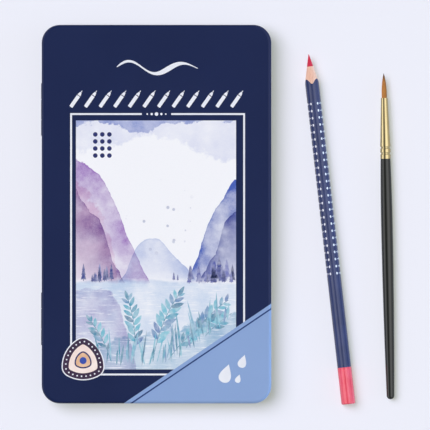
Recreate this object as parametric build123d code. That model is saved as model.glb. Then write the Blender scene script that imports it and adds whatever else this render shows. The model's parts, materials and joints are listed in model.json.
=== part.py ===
from build123d import *
from math import cos, pi, radians, sin, sqrt, tan
import os

# A flat hinged tin of twelve three-sided watercolour pencils, closed, with one pencil and the
# brush laid out beside it. Millimetres. The origin is the centre of the tin's underside, +X runs
# from the hinge side to the front, +Y towards the pencils' points, +Z up.

# Pencil
PENCIL_LENGTH = 175.0
PENCIL_WIDTH = 6.8  # the section has this width whichever way it lies
RIDGE_R = 1.65  # rounding of the three ridges
LEAD_D = 3.1
SHARPEN_ANGLE = 13.0  # half angle of the sharpened cone, degrees
TIP_R = 0.15  # blunt point
LACQUER = 0.12  # thickness of the lacquer coat
DIP = 0.08  # thickness of the dip coat over the lacquer
DIP_LENGTH = 18.4
DIP_END = 0.25  # dip over the end grain
DIP_EDGE = 0.6  # slope round the dip's end
END_CHAMFER = 0.5  # on the blunt end, under the dip
STORED_FLAT_COUNT = 12  # the pencils in the tin are drawn in flats
LOOSE_FLAT_COUNT = 18  # round its point, the loose one too

# Tray
GROOVES = 13
GROOVE_SIDE_PLAY = 0.25
GROOVE_FLOOR_PLAY = 0.2
GROOVE_END_PLAY = 1.0
RIB = 0.9  # between two grooves
RIB_HEIGHT = 4.0  # over the grooves' lowest line
TRAY_FLOOR = 0.4  # under the grooves' lowest line
TRAY_RISE = 1.2  # hollow under the tray
TRAY_WALL = 0.8
SIDE_LAND = 1.7
END_LAND = 3.5
LAND_HEIGHT = 2.1  # over the ribs
TROUGH_LENGTH = 20.0  # finger trough across the middle of the ribs
TROUGH_SLOPE = 4.0
TROUGH_DEPTH = 2.2
TRAY_GAP = 0.3  # all round, inside the hemmed rim

# Tin
SHEET = 0.3  # tinplate
HEADROOM = 1.8  # from the pencils' ridges to the lid
SKIRT_GAP = 0.8  # between the lid's skirt and the base's wall
LID_SEAT = 0.15  # between the base's rim and the lid
CORNER_R = 9.0  # of the lid, seen from above
LID_EDGE_R = 1.5
LID_INNER_EDGE = 0.7
BASE_EDGE = 0.6
LID_HEM = 1.5
RIM_HEM = 1.6
BEAD_INSET = 12.0  # stiffening bead in the base's floor, from the lid's outline
BEAD_CORNER_R = 8.0
BEAD_WIDTH = 2.4
BEAD_DEPTH = 0.4

# Hinge
HINGE_HEIGHT = 5.7  # of the wires' axis
WIRE_D = 1.0
WIRE_PLAY = 0.05
HINGE_SPREAD = 104.0  # between the middles of the two hinges
LID_KNUCKLE = 10.0
BASE_KNUCKLE = 7.8
KNUCKLE_GAP = 0.2
SWING_GAP = 0.1  # between what turns and what stays
CURL_SEAM = 0.12  # where a curled knuckle's sheet ends

# Brush
TUFT_LENGTH = 12.5
TUFT_BELLY = 5.5  # from the ferrule's mouth to the fullest place
TUFT_D = 2.3
BELLY_SWELL = 1.03
TIP_SHARE = 0.07
STRAND_ROWS = 11
OUTER_STRANDS = 30  # in the outermost, thinner row
STRAIGHT_ROWS = 9  # hidden rows in the middle, whose hair runs straight to the tip
STRAND_FILL = 0.62  # a strand's width over the room it has
PLUG_LENGTH = 10.0
PLUG_PLAY = 0.03
FERRULE_LENGTH = 30.2
FERRULE_CYLINDER = 6.5
FERRULE_MOUTH_D = 3.3
FERRULE_D = 5.0
FERRULE_WALL = 0.2
CRIMPS = (2.9, 5.8)  # from the ferrule's wide end
CRIMP_WIDTH = 1.2
CRIMP_DEPTH = 0.2
TENON_LENGTH = 11.0
TENON_PLAY = 0.05
HANDLE_LENGTH = 119.6
HANDLE_D = 4.9  # at the ferrule
HANDLE_BELLY_D = 5.75
HANDLE_BELLY = 33.0  # from the ferrule
HANDLE_TAIL_D = 3.8
BRUSH_FLAT_COUNT = 18  # the brush's long tapers are drawn in flats

# Where the loose pencil and the brush lie: middle beside the tin's front, middle along it, turn
PENCIL_ASIDE = 28.5
PENCIL_ALONG = -7.5
PENCIL_TURN = 6.5
BRUSH_ASIDE = 57.6
BRUSH_ALONG = -10.9
BRUSH_TURN = 1.2

# Grooves from the hinge side to the front; the crimson pencil's and the last, for the brush, are empty
COLOURS = (
    "white",
    "yellow",
    "orange",
    "crimson",
    "violet",
    "sky_blue",
    "ultramarine",
    "light_green",
    "dark_green",
    "ochre",
    "brown",
    "black",
)
LOOSE = "crimson"

# Sizes that follow
CORE_W = PENCIL_WIDTH - 2 * RIDGE_R
FACE_R = CORE_W + RIDGE_R
TO_VERTEX = CORE_W / sqrt(3)
TO_FACE = FACE_R - TO_VERTEX
TO_RIDGE = TO_VERTEX + RIDGE_R

GROOVE_W = PENCIL_WIDTH + 2 * GROOVE_SIDE_PLAY
PITCH = GROOVE_W + RIB
BED_W = GROOVES * PITCH
BED_L = PENCIL_LENGTH + 2 * GROOVE_END_PLAY
TRAY_W = BED_W + 2 * SIDE_LAND
TRAY_L = BED_L + 2 * END_LAND
FLOOR_Z = SHEET + TRAY_RISE + TRAY_FLOOR  # the grooves' lowest line
RIB_Z = FLOOR_Z + RIB_HEIGHT
LAND_Z = RIB_Z + LAND_HEIGHT
PENCIL_Z = FLOOR_Z + GROOVE_FLOOR_PLAY + TO_FACE

BASE_INSET = SHEET + SKIRT_GAP
TRAY_INSET = BASE_INSET + 2 * SHEET + TRAY_GAP
TIN_W = TRAY_W + 2 * TRAY_INSET
TIN_L = TRAY_L + 2 * TRAY_INSET
TIN_H = PENCIL_Z + TO_RIDGE + HEADROOM + SHEET
RIM_Z = TIN_H - SHEET - LID_SEAT

WIRE_R = WIRE_D / 2
BORE_R = WIRE_R + WIRE_PLAY
KNUCKLE_R = BORE_R + SHEET
HINGE_X = -TIN_W / 2 + (BASE_INSET - SWING_GAP) / 2
SKIRT_Z = HINGE_HEIGHT + KNUCKLE_R + SWING_GAP
HINGE_L = LID_KNUCKLE + 2 * KNUCKLE_GAP + 2 * BASE_KNUCKLE


def slab(inset, low, high, corner=CORNER_R):
    """A plate of the tin's outline, this far inside it, between two heights."""
    outline = RectangleRounded(TIN_W - 2 * inset, TIN_L - 2 * inset, corner - inset)
    return Pos(0, 0, low) * extrude(outline, high - low)


def band(outer, inner, low, high, corner=CORNER_R):
    """A ring between two outlines and two heights."""
    return slab(outer, low, high, corner) - slab(inner, low, high, corner)


def block(x0, x1, y0, y1, z0, z1):
    """A box between its two corners."""
    return Pos((x0 + x1) / 2, (y0 + y1) / 2, (z0 + z1) / 2) * Box(x1 - x0, y1 - y0, z1 - z0)


def patch(corners):
    """A flat face between corners."""
    return Face(Wire.make_polygon(corners))


def turned(points, flats):
    """A solid turned about the Z axis from a closed outline of (radius, height) points, in flats."""

    def corner(point, number):
        radius, height = point
        angle = 2 * pi * number / flats
        return (radius * cos(angle), radius * sin(angle), height)

    skin = []
    for one, two in zip(points, points[1:] + points[:1]):
        if one[0] == two[0] == 0:
            continue
        if one[1] == two[1] and 0 in (one[0], two[0]):
            edge = one if one[0] else two
            skin.append(patch([corner(edge, number) for number in range(flats)]))
            continue
        for number in range(flats):
            corners = [corner(one, number), corner(one, number + 1)]
            corners += [corner(two, number + 1), corner(two, number)]
            skin.append(patch([c for k, c in enumerate(corners) if c != corners[k - 1]]))
    return Solid(Shell(skin))


# Hinge knuckles


def curl(middle, length, seam_angle):
    """A sheet rolled round the hinge wire, with a slit where the sheet ends."""
    seam = CURL_SEAM / BORE_R * 180 / pi
    start = seam_angle + seam / 2
    turn = 360 - seam
    outer = CenterArc((0, 0), KNUCKLE_R, start, turn)
    inner = CenterArc((0, 0), BORE_R, start, turn)
    section = make_face([outer, inner, Line(outer @ 0, inner @ 0), Line(outer @ 1, inner @ 1)])
    return Pos(HINGE_X, middle + length / 2, HINGE_HEIGHT) * Rot(90, 0, 0) * extrude(section, length)


def hinge_middles():
    """Where the two hinges stand along the tin."""
    return (HINGE_SPREAD / 2, -HINGE_SPREAD / 2)


def base_knuckles():
    """Four knuckles, each rolled from a strip that comes straight out of the base's wall."""
    step = (LID_KNUCKLE + BASE_KNUCKLE) / 2 + KNUCKLE_GAP
    wall_x = -TIN_W / 2 + BASE_INSET + SHEET
    low = HINGE_HEIGHT - KNUCKLE_R
    shape = None
    for middle in hinge_middles():
        for side in (-step, step):
            y = middle + side
            strip = block(HINGE_X, wall_x, y - BASE_KNUCKLE / 2, y + BASE_KNUCKLE / 2, low, low + SHEET)
            knuckle = curl(y, BASE_KNUCKLE, 50) + strip
            shape = knuckle if shape is None else shape + knuckle
    return shape


def lid_knuckles():
    """Two knuckles, each rolled from a tongue of the lid's skirt."""
    shape = None
    skirt_x = -TIN_W / 2
    for y in hinge_middles():
        half = LID_KNUCKLE / 2
        tongue = block(skirt_x, skirt_x + SHEET, y - half, y + half, HINGE_HEIGHT, SKIRT_Z + SHEET)
        bore = Pos(HINGE_X, y, HINGE_HEIGHT) * Rot(90, 0, 0) * Cylinder(BORE_R, LID_KNUCKLE)
        knuckle = curl(y, LID_KNUCKLE, -130) + (tongue - bore)
        shape = knuckle if shape is None else shape + knuckle
    return shape


def knuckle_windows():
    """Openings in the base's wall that the lid's knuckles turn in."""
    half = LID_KNUCKLE / 2 + KNUCKLE_GAP
    wall_x = -TIN_W / 2 + BASE_INSET
    reach = KNUCKLE_R + SWING_GAP
    windows = None
    for y in hinge_middles():
        window = block(
            wall_x - SHEET, wall_x + 2 * SHEET, y - half, y + half, HINGE_HEIGHT - reach, HINGE_HEIGHT + reach
        )
        windows = window if windows is None else windows + window
    return windows


def hinge_pin(middle):
    """The wire of one hinge, a little short of its knuckles' outer ends."""
    wire = Cylinder(WIRE_R, HINGE_L - 2 * KNUCKLE_GAP)
    return Pos(HINGE_X, middle, HINGE_HEIGHT) * Rot(90, 0, 0) * wire


# Tin


def tin_base():
    """Drawn tinplate tray with an inward hemmed rim and a stiffening bead in its floor."""
    outside = slab(BASE_INSET, 0, RIM_Z)
    outside = chamfer(outside.edges().group_by(Axis.Z)[0], BASE_EDGE)
    inside = slab(BASE_INSET + SHEET, SHEET, RIM_Z)
    inside = chamfer(inside.edges().group_by(Axis.Z)[0], BASE_EDGE - SHEET / 2)
    rim = band(BASE_INSET + SHEET, BASE_INSET + 2 * SHEET, RIM_Z - RIM_HEM, RIM_Z)
    far = BEAD_INSET + BEAD_WIDTH
    corner = BEAD_INSET + BEAD_CORNER_R
    ridge = band(BEAD_INSET - SHEET, far + SHEET, SHEET, SHEET + BEAD_DEPTH, corner)
    groove = band(BEAD_INSET, far, 0, BEAD_DEPTH, corner)
    shell = outside - inside + rim + ridge - groove
    return shell - knuckle_windows() + base_knuckles()


def tin_lid():
    """Drawn tinplate lid with a rounded top edge, a skirt and an inward hem."""
    outside = slab(0, SKIRT_Z, TIN_H)
    outside = fillet(outside.edges().group_by(Axis.Z)[-1], LID_EDGE_R)
    inside = slab(SHEET, SKIRT_Z, TIN_H - SHEET)
    inside = chamfer(inside.edges().group_by(Axis.Z)[-1], LID_INNER_EDGE)
    hem = band(SHEET, 2 * SHEET, SKIRT_Z, SKIRT_Z + LID_HEM)
    return outside - inside + hem + lid_knuckles()


# Tray


def groove_x(number):
    """The middle of a groove, counted from the hinge side."""
    return (number - (GROOVES - 1) / 2) * PITCH


def groove(number):
    """One groove: upright sides and a floor rounded to a pencil's face."""
    x = groove_x(number)
    channel = block(x - GROOVE_W / 2, x + GROOVE_W / 2, -BED_L / 2, BED_L / 2, 0, RIB_Z)
    round_r = FACE_R + GROOVE_FLOOR_PLAY
    round_z = FLOOR_Z + round_r
    scoop = Pos(x, 0, round_z) * Rot(90, 0, 0) * Cylinder(round_r, BED_L)
    above = block(x - GROOVE_W / 2, x + GROOVE_W / 2, -BED_L / 2, BED_L / 2, round_z, round_z + round_r)
    return channel & (scoop + above)


def trough():
    """Room across the ribs for a finger to lift a pencil."""
    low = RIB_Z - TROUGH_DEPTH
    near = TROUGH_LENGTH / 2
    far = near + TROUGH_SLOPE
    points = [(-near, low), (near, low), (far, RIB_Z), (-far, RIB_Z)]
    face = make_face(Polyline(*[(0, y, z) for y, z in points], close=True))
    width = BED_W - RIB
    return Pos(-width / 2, 0, 0) * extrude(face, width, dir=(1, 0, 0))


def pencil_tray():
    """Moulded tray: lands all round, ribbed bed, hollow below."""
    tray = slab(TRAY_INSET, SHEET, LAND_Z)
    tray -= block(-BED_W / 2, BED_W / 2, -BED_L / 2, BED_L / 2, RIB_Z, LAND_Z)
    for number in range(GROOVES):
        tray -= groove(number)
    tray -= trough()
    tray -= slab(TRAY_INSET + TRAY_WALL, SHEET, SHEET + TRAY_RISE)
    near = BED_L / 2 + TRAY_WALL
    far = TRAY_L / 2 - TRAY_WALL
    half = BED_W / 2 - CORNER_R + TRAY_INSET
    for low, high in ((near, far), (-far, -near)):
        tray -= block(-half, half, low, high, SHEET, LAND_Z - TRAY_WALL)
    return tray


# Pencil, drawn with its point at the origin, its axis up and one ridge towards +Y


def three_sided(skin, smooth):
    """The rounded three-sided section, grown by this much, of arcs or, in a stored pencil, of flats."""
    edges = []
    for number in range(3):
        angle = 90 + 120 * number
        vertex = (TO_VERTEX * cos(radians(angle)), TO_VERTEX * sin(radians(angle)))
        edges.append(CenterArc(vertex, RIDGE_R + skin, angle - 30, 60))
        edges.append(CenterArc(vertex, FACE_R + skin, angle + 150, 60))
    if smooth:
        return make_face(edges)
    lines = [Line(edge @ start, edge @ (start + 0.5)) for edge in edges for start in (0, 0.5)]
    return make_face(lines)


def sharpener(flats):
    """What a sharpener leaves: a cone from the point that widens past the ridges."""
    wide = PENCIL_WIDTH
    cone_end = (wide - TIP_R) / tan(radians(SHARPEN_ANGLE))
    points = [(0, 0), (TIP_R, 0), (wide, cone_end), (wide, PENCIL_LENGTH), (0, PENCIL_LENGTH)]
    return turned(points, flats)


def pencil_parts(smooth):
    """The four pieces of a sharpened pencil."""
    wood_end = PENCIL_LENGTH - DIP_END
    full = extrude(three_sided(0, smooth), wood_end)
    full = chamfer(full.faces().sort_by(Axis.Z)[-1].edges(), END_CHAMFER)
    flats = LOOSE_FLAT_COUNT if smooth else STORED_FLAT_COUNT
    kept = sharpener(flats)
    wood_core = extrude(three_sided(-LACQUER, smooth), wood_end)
    bar = turned([(0, 0), (LEAD_D / 2, 0), (LEAD_D / 2, wood_end), (0, wood_end)], flats)
    sharpened = full & kept
    dip = Pos(0, 0, PENCIL_LENGTH - DIP_LENGTH) * extrude(three_sided(DIP, smooth), DIP_LENGTH)
    dip = chamfer(dip.faces().sort_by(Axis.Z)[-1].edges(), DIP_EDGE)
    return {
        "casing": (sharpened & wood_core) - bar,
        "lacquer": sharpened - wood_core,
        "lead": bar & kept,
        "end_dip": dip - full,
    }


def pencil_place(x, y, z, turn):
    """Where a pencil's point is, lying with a flat face down, turned this many degrees."""
    along = (sin(radians(turn)), -cos(radians(turn)), 0)
    across = (cos(radians(turn)), sin(radians(turn)), 0)
    return Plane(origin=(x, y, z), x_dir=across, z_dir=along).location


def loose_place(aside, beside, length, turn, height):
    """The point of a loose piece, from where its middle lies beside the tin."""
    x = TIN_W / 2 + aside - length / 2 * sin(radians(turn))
    y = beside + length / 2 * cos(radians(turn))
    return pencil_place(x, y, height, turn)


# Brush, drawn with its tip at the origin and its axis up


def ferrule_inside(height):
    """The ferrule's inner radius at a height over its mouth."""
    cone = FERRULE_LENGTH - FERRULE_CYLINDER
    share = min(height / cone, 1)
    return (FERRULE_MOUTH_D + (FERRULE_D - FERRULE_MOUTH_D) * share) / 2 - FERRULE_WALL


def crimped(radius, end):
    """Points along a straight wall with its pressed rings, mouth side first."""
    points = []
    for back in sorted(CRIMPS, reverse=True):
        middle = end - back
        points.append((radius, middle - CRIMP_WIDTH / 2))
        points.append((radius - CRIMP_DEPTH, middle))
        points.append((radius, middle + CRIMP_WIDTH / 2))
    return points


def brush_ferrule():
    """Tapered tube with two crimped rings at its wide end."""
    mouth = TUFT_LENGTH
    end = TUFT_LENGTH + FERRULE_LENGTH
    bend = end - FERRULE_CYLINDER
    outer = [(FERRULE_MOUTH_D / 2, mouth), (FERRULE_D / 2, bend)] + crimped(FERRULE_D / 2, end)
    outer.append((FERRULE_D / 2, end))
    inner_r = FERRULE_D / 2 - FERRULE_WALL
    inner = [(FERRULE_MOUTH_D / 2 - FERRULE_WALL, mouth), (inner_r, bend)] + crimped(inner_r, end)
    inner.append((inner_r, end))
    return turned(outer + inner[::-1], BRUSH_FLAT_COUNT)


def bulge(low_r, high_r, low, high, count):
    """Points of the arc between two stations, upright where it is widest."""
    points = []
    for step in range(1, count + 1):
        share = step / count
        rise = 1 - (1 - share) ** 2 if high_r > low_r else share**2
        points.append((low_r + (high_r - low_r) * rise, low + (high - low) * share))
    return points


def brush_handle():
    """Turned handle: a tenon in the ferrule, a belly and a long taper to a round tail."""
    end = TUFT_LENGTH + FERRULE_LENGTH
    tail_r = HANDLE_TAIL_D / 2
    tail = end + HANDLE_LENGTH - tail_r
    tenon_r = FERRULE_D / 2 - FERRULE_WALL - TENON_PLAY
    tip_r = ferrule_inside(FERRULE_LENGTH - TENON_LENGTH) - TENON_PLAY
    points = [(0, end - TENON_LENGTH), (tip_r, end - TENON_LENGTH), (tenon_r, end - FERRULE_CYLINDER)]
    points += crimped(tenon_r, end) + [(tenon_r, end), (HANDLE_D / 2, end)]
    points += bulge(HANDLE_D / 2, HANDLE_BELLY_D / 2, end, end + HANDLE_BELLY, 3)
    points += bulge(HANDLE_BELLY_D / 2, tail_r, end + HANDLE_BELLY, tail, 5)
    for angle in (30, 60, 82):
        points.append((tail_r * cos(radians(angle)), tail + tail_r * sin(radians(angle))))
    points.append((0, points[-1][1]))
    return turned(points, BRUSH_FLAT_COUNT)


def tuft_stations(foot):
    """Height over the tip and width share at each place where a strand bends."""
    stations = [(TUFT_LENGTH, 1.0), (TUFT_LENGTH - TUFT_BELLY, BELLY_SWELL), (0, TIP_SHARE)]
    if sqrt(foot[0] ** 2 + foot[1] ** 2) < (STRAIGHT_ROWS - 0.5) * strand_room():
        del stations[1]
    return stations


def strand_room():
    """The distance between two strands at the plug."""
    return TUFT_D / (2 * STRAND_ROWS - 1)


def strand_feet():
    """Middles of the strands at the plug, in rings of six more each."""
    room = strand_room()
    feet = [(0.0, 0.0)]
    for ring in range(1, STRAND_ROWS):
        count = 6 * ring if ring < STRAND_ROWS - 1 else OUTER_STRANDS
        for step in range(count):
            angle = 2 * pi * (step + 0.5 * (ring % 2)) / count
            feet.append((ring * room * cos(angle), ring * room * sin(angle)))
    return feet


def strand_rings(foot):
    """The corners of one three-sided strand wherever it bends, from the plug to the tip."""
    reach = strand_room() * STRAND_FILL / sqrt(3)
    rings = []
    for height, share in tuft_stations(foot):
        ring = []
        for number in range(3):
            angle = 2 * pi * number / 3
            x = (foot[0] + reach * cos(angle)) * share
            y = (foot[1] + reach * sin(angle)) * share
            ring.append((x, y, height))
        rings.append(ring)
    return rings


def strand_faces(rings):
    """The faces of one strand, open where it stands on the plug."""
    faces = [patch(rings[-1])]
    for low, high in zip(rings, rings[1:]):
        for number in range(3):
            after = (number + 1) % 3
            faces.append(patch([low[number], low[after], high[after], high[number]]))
    return faces


def brush_tuft():
    """Hair set in the glue plug that fills the ferrule's mouth, sewn into one solid."""
    back = TUFT_LENGTH + PLUG_LENGTH
    front_r = ferrule_inside(0) - PLUG_PLAY
    back_r = ferrule_inside(PLUG_LENGTH) - PLUG_PLAY
    plug = turned([(0, TUFT_LENGTH), (front_r, TUFT_LENGTH), (back_r, back), (0, back)], BRUSH_FLAT_COUNT)
    faces = plug.faces().sort_by(Axis.Z)
    strands = [strand_rings(foot) for foot in strand_feet()]
    skin = [faces[0].make_holes([Wire.make_polygon(rings[0]) for rings in strands])] + faces[1:]
    for rings in strands:
        skin += strand_faces(rings)
    return Solid(Shell(skin))


def make_all():
    """Every piece in its place, by node name."""
    nodes = {
        "tin_base": tin_base(),
        "tin_lid": tin_lid(),
        "hinge_pin_upper": hinge_pin(HINGE_SPREAD / 2),
        "hinge_pin_lower": hinge_pin(-HINGE_SPREAD / 2),
        "pencil_tray": pencil_tray(),
    }
    stored = pencil_parts(smooth=False)
    loose = pencil_parts(smooth=True)
    for number, colour in enumerate(COLOURS):
        pieces = loose if colour == LOOSE else stored
        if colour == LOOSE:
            place = loose_place(PENCIL_ASIDE, PENCIL_ALONG, PENCIL_LENGTH, PENCIL_TURN, TO_FACE + DIP)
        else:
            place = pencil_place(groove_x(number), PENCIL_LENGTH / 2, PENCIL_Z, 0)
        for name, piece in pieces.items():
            nodes[f"{colour}_pencil_{name}"] = place * piece
    length = TUFT_LENGTH + FERRULE_LENGTH + HANDLE_LENGTH
    place = loose_place(BRUSH_ASIDE, BRUSH_ALONG, length, BRUSH_TURN, HANDLE_BELLY_D / 2)
    nodes["brush_tuft"] = place * brush_tuft()
    nodes["brush_ferrule"] = place * brush_ferrule()
    nodes["brush_handle"] = place * brush_handle()
    return nodes


os.makedirs("parts", exist_ok=True)
for node, solid in make_all().items():
    export_step(solid, f"parts/{node}.step")
print(f"tin {TIN_W:.2f} x {TIN_L:.2f} x {TIN_H:.2f} mm, {len(strand_feet())} strands")
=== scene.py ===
# %% [markdown]
# This scene dresses a flat hinged tin of twelve three-sided watercolour pencils. The tin is
# closed, and one pencil and the brush lie beside it. The measured parts come in first and give
# every size and place. Print, lacquer, wood, wax and hair are then built on them.

# %% Load the measured parts
import json
from math import atan2, cos, degrees, hypot, pi, radians, sin, sqrt, tan

import bmesh
import bpy
from mathutils import Matrix, Vector


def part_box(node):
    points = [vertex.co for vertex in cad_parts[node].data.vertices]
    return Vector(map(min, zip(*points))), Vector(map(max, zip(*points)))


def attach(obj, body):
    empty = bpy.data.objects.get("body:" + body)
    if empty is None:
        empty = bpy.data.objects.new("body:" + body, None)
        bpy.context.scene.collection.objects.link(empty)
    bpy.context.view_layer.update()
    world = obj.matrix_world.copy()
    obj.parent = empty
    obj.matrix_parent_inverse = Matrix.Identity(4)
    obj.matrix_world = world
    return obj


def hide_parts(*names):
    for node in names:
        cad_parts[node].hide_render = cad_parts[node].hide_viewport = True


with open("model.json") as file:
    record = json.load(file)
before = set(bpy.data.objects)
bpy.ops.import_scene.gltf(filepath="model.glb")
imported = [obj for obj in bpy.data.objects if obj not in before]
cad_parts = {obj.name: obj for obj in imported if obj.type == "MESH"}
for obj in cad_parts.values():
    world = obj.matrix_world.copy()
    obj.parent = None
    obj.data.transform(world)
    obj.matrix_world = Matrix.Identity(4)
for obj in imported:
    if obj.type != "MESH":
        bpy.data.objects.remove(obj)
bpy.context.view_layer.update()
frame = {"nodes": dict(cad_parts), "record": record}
nodes = frame["nodes"]
swatches = {entry["slot"]: entry["base_color"] for entry in frame["record"]["materials"]}

# %% [markdown]
# Everything below is written in millimetres and turned to metres where a mesh is made. Colours
# are written as a picture editor shows them, 0 to 255, and turned to the linear light that
# shaders expect.

# %% Millimetres and colours
MM = 0.001


def colour(red, green, blue):
    """A colour from its 0 to 255 values, in linear light."""
    shares = [value / 255 for value in (red, green, blue)]
    return (*[((s + 0.055) / 1.055) ** 2.4 if s > 0.04 else s / 12.92 for s in shares], 1)


def swatch(slot):
    """The colour that the record gives a finish."""
    return colour(*[255 * share for share in swatches[slot]])


def box_of(node):
    """The two corners of a measured part's box, in millimetres."""
    return [Vector(corner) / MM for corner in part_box(node)]


print("cedar in linear light:", [round(v, 3) for v in swatch("cedar")])

# %% [markdown]
# The photograph looks straight down from far away, so nothing leans outwards. A long lens far
# above does the same. The camera stands over the middle of the whole group, and its distance
# follows from the lens and from how much of the table one pixel covers.

# %% Camera straight above
PICTURE_WIDTH = 430  # pixels
MM_TO_A_PIXEL = 0.4965
TIN_MIDDLE_PX = (156.5, 214.15)
LENS = 1200.0
SENSOR = 36.0

_, (half_width, half_length, lid_top) = box_of("tin_lid")
over = Vector((
    (PICTURE_WIDTH / 2 - TIN_MIDDLE_PX[0]) * MM_TO_A_PIXEL,
    (TIN_MIDDLE_PX[1] - PICTURE_WIDTH / 2) * MM_TO_A_PIXEL,
    lid_top + PICTURE_WIDTH * MM_TO_A_PIXEL * LENS / SENSOR,
))
camera = bpy.data.objects.new("camera", bpy.data.cameras.new("camera"))
camera.data.lens = LENS
camera.data.sensor_width = SENSOR
camera.data.clip_end = 100
camera.location = over * MM
bpy.context.scene.collection.objects.link(camera)
bpy.context.scene.camera = camera
bpy.context.scene.view_settings.view_transform = "Standard"
print("camera", [round(v) for v in over], "mm")

# %% [markdown]
# Small helpers keep the shader trees short. `add` makes a node, fills its inputs with plain
# values or other nodes' outputs, and gives back its outputs. An output knows its tree, so the
# other helpers find the tree by themselves. Outputs also learn to be added, multiplied and so
# on, each step as one arithmetic node, so that a shader's sums read like sums. `group` starts a
# node group, which is built once and then used by many materials with their own values.

# %% Shader helpers
Socket = bpy.types.NodeSocket


def fill(socket, value):
    """Gives a node's input a plain value or another node's output."""
    if isinstance(value, Socket):
        socket.id_data.links.new(value, socket)
    else:
        socket.default_value = value


def add(tree, kind, inputs=None, **settings):
    """The outputs of one new node, with its settings and its inputs filled."""
    node = tree.nodes.new(kind)
    for name, value in settings.items():
        setattr(node, name, value)
    for name, value in (inputs or {}).items():
        fill(node.inputs[name], value)
    return node.outputs


def tree_of(*values):
    """The tree that the outputs among some values belong to."""
    return next(value.id_data for value in values if isinstance(value, Socket))


def calc(step, *values):
    """The result of one arithmetic step on outputs and plain values."""
    return add(tree_of(*values), "ShaderNodeMath", dict(enumerate(values)), operation=step)[0]


for sign, step in (("add", "ADD"), ("sub", "SUBTRACT"), ("mul", "MULTIPLY"),
                   ("truediv", "DIVIDE"), ("pow", "POWER")):
    setattr(Socket, f"__{sign}__", lambda one, two, step=step: calc(step, one, two))
    setattr(Socket, f"__r{sign}__", lambda one, two, step=step: calc(step, two, one))


def scaled(value, low, high, to_low=0.0, to_high=1.0, smooth=False):
    """A value moved from one range to another and held inside it."""
    labels = ("Value", "From Min", "From Max", "To Min", "To Max")
    inputs = dict(zip(labels, (value, low, high, to_low, to_high)))
    kind = "SMOOTHSTEP" if smooth else "LINEAR"
    return add(value.id_data, "ShaderNodeMapRange", inputs, interpolation_type=kind)["Result"]


def mixed(share, one, two, blend="MIX"):
    """Two colours mixed by a share."""
    return add(tree_of(share, one, two), "ShaderNodeMix", {0: share, 6: one, 7: two},
               data_type="RGBA", blend_type=blend)[2]


def ramp(share, stops):
    """A colour that runs through stops, each a place from 0 to 1 and a colour."""
    made = add(share.id_data, "ShaderNodeValToRGB", {0: share})[0]
    elements = made.node.color_ramp.elements
    while len(elements) < len(stops):
        elements.new(0.5)
    for element, (place, tone) in zip(elements, stops):
        element.position, element.color = place, tone
    return made


def parts(place):
    """A place's x, y and z."""
    return add(place.id_data, "ShaderNodeSeparateXYZ", {0: place})


def stretched(place, pull, operation="MULTIPLY"):
    """A place pulled along its axes, or moved along them if the operation is ADD."""
    return add(place.id_data, "ShaderNodeVectorMath", {0: place, 1: pull}, operation=operation)[0]


def noise(place, scale, detail=2.0, roughness=0.5, pull=None):
    """Noise from 0 to 1 over a place, pulled along its axes if pull says so."""
    inputs = {"Vector": stretched(place, pull) if pull else place, "Scale": scale,
              "Detail": detail, "Roughness": roughness}
    return add(place.id_data, "ShaderNodeTexNoise", inputs)[0]


def group(name, inputs, *outputs):
    """An empty node group, with what it is given and the inputs of its output node."""
    tree = bpy.data.node_groups.new(name, "ShaderNodeTree")
    for label, kind, value in inputs:
        socket = tree.interface.new_socket(label, in_out="INPUT", socket_type="NodeSocket" + kind)
        if value is not None:
            socket.default_value = value
    for label, kind in outputs:
        tree.interface.new_socket(label, in_out="OUTPUT", socket_type="NodeSocket" + kind)
    return tree, add(tree, "NodeGroupInput"), tree.nodes.new("NodeGroupOutput").inputs


def placed(made, **inputs):
    """The outputs of a node group placed in the tree where its inputs come from."""
    return add(inputs["Place"].id_data, "ShaderNodeGroup", inputs, node_tree=made)


def feed(shader, **inputs):
    """Fills a shader's inputs, with a height and its distance going through a bump."""
    for label, value in inputs.items():
        if label == "Height":
            bump = dict(zip(("Height", "Distance"), value))
            label, value = "Normal", add(shader.id_data, "ShaderNodeBump", bump)[0]
        fill(shader.inputs[label.replace("_", " ")], value)


def surface(name, own=False, **plain):
    """A material, its shader, and the place that patterns read: the set's or the piece's own."""
    made = bpy.data.materials.new(name)
    made.use_nodes = True
    shader = made.node_tree.nodes["Principled BSDF"]
    feed(shader, **plain)
    if own:
        place = add(made.node_tree, "ShaderNodeAttribute", attribute_name="own_place")["Vector"]
    else:
        place = add(made.node_tree, "ShaderNodeTexCoord")["Object"]
    return made, shader, place


print("shader helpers ready")

# %% [markdown]
# The set lies on a light table, so the floor glows a little by itself and shadows stay pale. A
# sun lamp with a very wide disc, from the upper left, throws the soft shadow to the lower right,
# and a cooler one low on the right, which throws none, keeps the faces there from going dull.
# The sky stands for the studio: bright panels on both sides, a dark gap just left of overhead,
# and less light from the far ends of the table. Lacquer and gilt mirror it, but it adds only a
# little light to dull surfaces. They mirror the table at half its brightness, as if dark card
# lay just outside the picture, which gives glossy things dark edges. All of it together lights a
# flat surface to about the colour that it is written in.

# %% Floor and studio light
TABLE = colour(236, 238, 249)
TABLE_GLOW = (0.35, 0.35, 0.21)  # of its red, green and blue; less blue keeps shadows neutral
TABLE_IN_GLOSS = 0.5  # of its brightness that glossy things mirror
FLOOR_HALF = 6.0  # metres
# Each lamp's reach down along its light, strength, tint, and whether it throws a shadow
LAMPS = {"window_light": ((6.0, -3.2, -11.0), 2.77, (1.065, 1.02, 0.99), True),
         "fill_light": ((-11.0, 0.0, -0.9), 3.3, (0.68, 0.88, 1.03), False)}
LAMP_WIDTH = 49.0  # degrees
SKY_TO_DULL = 0.19  # how much of the sky's light falls on surfaces, over what they mirror
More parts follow.
